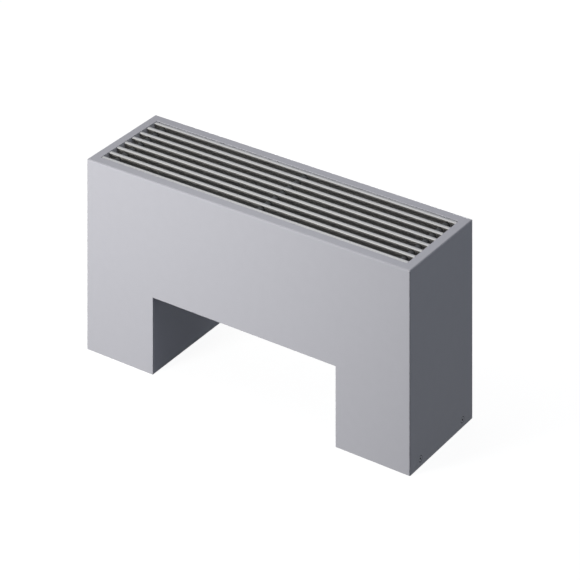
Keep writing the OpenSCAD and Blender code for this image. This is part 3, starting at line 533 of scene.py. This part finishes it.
def ring_mesh(name, rings):
    """A mesh of closed rings, each one given as a grid of points round it and round its section."""
    points = []
    faces = []
    for grid in rings:
        base = len(points)
        around = len(grid)
        section = len(grid[0])
        for row in grid:
            points.extend(row)
        for i in range(around):
            for j in range(section):
                corner = [(i, j), (i, j + 1), (i + 1, j + 1), (i + 1, j)]
                faces.append([base + (a % around) * section + b % section for a, b in corner])
    mesh = bpy.data.meshes.new(name)
    mesh.from_pydata(points, [], faces)
    mesh.polygons.foreach_set("use_smooth", [True] * len(faces))
    mesh.update()
    return mesh


def bead(centre, r, drum_r, side, thick):
    """A bead of solder where a tube along X meets an upright drum, or a flat end with drum_r None."""
    grid = []
    for i in range(RING_STEPS):
        turn = 2 * pi * i / RING_STEPS
        out = Vector((0.0, cos(turn), sin(turn)))
        reach = sqrt(drum_r ** 2 - (r * cos(turn)) ** 2) if drum_r else 0.0
        middle = Vector(centre) + out * r + Vector((side * reach, 0.0, 0.0))
        ripple = BROAD_RIPPLE * sin(3 * turn + RIPPLE_SHIFT * centre[2]) + FINE_RIPPLE * sin(7 * turn)
        swell = thick * (1.0 + ripple)
        row = []
        for j in range(SECTION_STEPS):
            roll = 2 * pi * j / SECTION_STEPS
            row.append(middle + out * (swell * cos(roll)) + Vector((side * swell * sin(roll), 0.0, 0.0)))
        grid.append(row)
    return grid


def make_brazing():
    """Solder beads where the tubes enter the headers and the return bends."""
    for name, y, stub_z in (("flow", -ROW_Y, ROW_HIGH), ("return", ROW_Y, ROW_LOW)):
        rings = [bead((HEADER_X, y, z), TUBE_R, HEADER_R, 1, BEAD_R) for z in (ROW_LOW, ROW_HIGH)]
        rings.append(bead((HEADER_X, y, stub_z), STUB_R, HEADER_R, -1, BEAD_R))
        add_piece("brazing_" + name + "_header", ring_mesh("brazing", rings), BRAZING)
    for name, z in (("lower", ROW_LOW), ("upper", ROW_HIGH)):
        rings = [bead((CUP_MOUTH_X, y, z), (TUBE_R + CUP_R) / 2, None, -1, BEND_BEAD_R)
                 for y in (-ROW_Y, ROW_Y)]
        add_piece("brazing_bend_" + name, ring_mesh("brazing", rings), BRAZING)


def add_piece(name, mesh, material):
    piece = bpy.data.objects.new(name, mesh)
    bpy.context.scene.collection.objects.link(piece)
    mesh.materials.append(material)
    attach(piece, "convector")
    return piece


def make_camera():
    data = bpy.data.cameras.new("camera")
    camera = bpy.data.objects.new("camera", data)
    rig = bpy.data.objects.new("camera rig", None)
    for made in (camera, rig):
        bpy.context.scene.collection.objects.link(made)
    tilt = atan(HORIZON_PIXELS / FOCAL_PIXELS)
    data.sensor_width = SENSOR_MM
    data.lens = FOCAL_PIXELS / cos(tilt) / FRAME_PIXELS * SENSOR_MM
    right = Vector((cos(CAMERA_YAW), sin(CAMERA_YAW), 0.0))
    upright = Vector((0.0, 0.0, 1.0))
    back = Vector((sin(CAMERA_YAW) * cos(tilt), -cos(CAMERA_YAW) * cos(tilt), sin(tilt)))
    film = Matrix((right, upright, back)).transposed().to_4x4()
    film.translation = CAMERA_PLACE
    camera.location = CAMERA_PLACE
    camera.rotation_mode = "QUATERNION"
    camera.rotation_quaternion = back.to_track_quat("Z", "Y")
    bpy.context.view_layer.update()
    plain = camera.matrix_basis.copy()
    camera.parent = rig
    camera.matrix_parent_inverse = film @ plain.inverted()
    bpy.context.scene.camera = camera


def make_lamp(name, place, size, watts, tint=WHITE):
    """A soft oval lamp of a given width and height that faces the middle of the object."""
    data = bpy.data.lights.new(name, "AREA")
    data.shape = "ELLIPSE"
    data.size, data.size_y = size
    data.energy = watts
    data.color = tint
    lamp = bpy.data.objects.new(name, data)
    bpy.context.scene.collection.objects.link(lamp)
    lamp.location = place
    lamp.rotation_mode = "QUATERNION"
    lamp.rotation_quaternion = (place - Vector((0.0, 0.0, HEIGHT / 2))).to_track_quat("Z", "Y")


def make_world():
    """White behind the object, and a soft even light from all round."""
    world = bpy.data.worlds.new("studio")
    bpy.context.scene.world = world
    world.use_nodes = True
    tree = world.node_tree
    rays = node(tree, "LightPath").outputs
    seen = math(tree, "ADD", rays["Is Camera Ray"], rays["Is Transmission Ray"], clamp=True)
    direction = node(tree, "TexCoord").outputs["Generated"]
    lit_side = Vector((KEY_PLACE.x, KEY_PLACE.y, LIT_SIDE_RISE)).normalized()
    facing = node(tree, "VectorMath", {0: direction, 1: lit_side}, operation="DOT_PRODUCT").outputs["Value"]
    mirrored = ramp(tree, facing, -MIRROR_REACH, MIRROR_REACH, MIRROR_DARK, 1.0)
    height = node(tree, "SeparateXYZ", {0: direction}).outputs[2]
    rise = ramp(tree, height, OVERHEAD_START, OVERHEAD_FULL)
    around = ramp(tree, rise, 0.0, 1.0, AMBIENT, OVERHEAD)
    tint = blend_colour(tree, rise, colour(COOL_TINT), colour(OVERHEAD_TINT))
    strength = node(tree, "Mix", {0: rays["Is Glossy Ray"], 2: around, 3: mirrored}).outputs[0]
    level = node(tree, "Mix", {0: seen, 2: strength, 3: 1.0}).outputs[0]
    backdrop = tree.nodes["Background"]
    tree.links.new(blend_colour(tree, seen, tint, colour(WHITE)), backdrop.inputs["Color"])
    tree.links.new(level, backdrop.inputs["Strength"])


def make_floor():
    """Pale floor: white to the camera, with the object's soft shadow on it."""
    half = FLOOR_SIZE / 2
    mesh = bpy.data.meshes.new("floor")
    mesh.from_pydata([(-half, -half, 0.0), (half, -half, 0.0), (half, half, 0.0), (-half, half, 0.0)],
                     [], [(0, 1, 2, 3)])
    floor = bpy.data.objects.new("floor", mesh)
    bpy.context.scene.collection.objects.link(floor)
    material = bpy.data.materials.new("floor")
    material.use_nodes = True
    tree = material.node_tree
    tree.nodes.clear()
    rays = node(tree, "LightPath").outputs
    seen = math(tree, "ADD", rays["Is Camera Ray"], rays["Is Glossy Ray"], clamp=True)
    bounce = node(tree, "BsdfDiffuse", {"Color": colour(FLOOR_BOUNCE)}).outputs[0]
    tint = node(tree, "BsdfDiffuse", {"Color": colour((FLOOR_TINT,) * 3)}).outputs[0]
    glow = node(tree, "Emission", {"Color": colour(WHITE), "Strength": FLOOR_GLOW}).outputs[0]
    shown = node(tree, "AddShader", {0: tint, 1: glow}).outputs[0]
    result = node(tree, "MixShader", {0: seen, 1: bounce, 2: shown}).outputs[0]
    node(tree, "OutputMaterial", {"Surface": result})
    mesh.materials.append(material)


dress_cad_nodes()
make_brazing()
make_camera()
make_lamp("key lamp", KEY_PLACE, KEY_SIZE, KEY_WATTS)
make_lamp("top lamp", TOP_PLACE, TOP_SIZE, TOP_WATTS)
make_lamp("back lamp", BACK_PLACE, BACK_SIZE, BACK_WATTS)
make_lamp("side lamp", SIDE_PLACE, SIDE_SIZE, SIDE_WATTS, COOL_TINT)
make_world()
make_floor()

scene = bpy.context.scene
scene.view_settings.view_transform = "Standard"
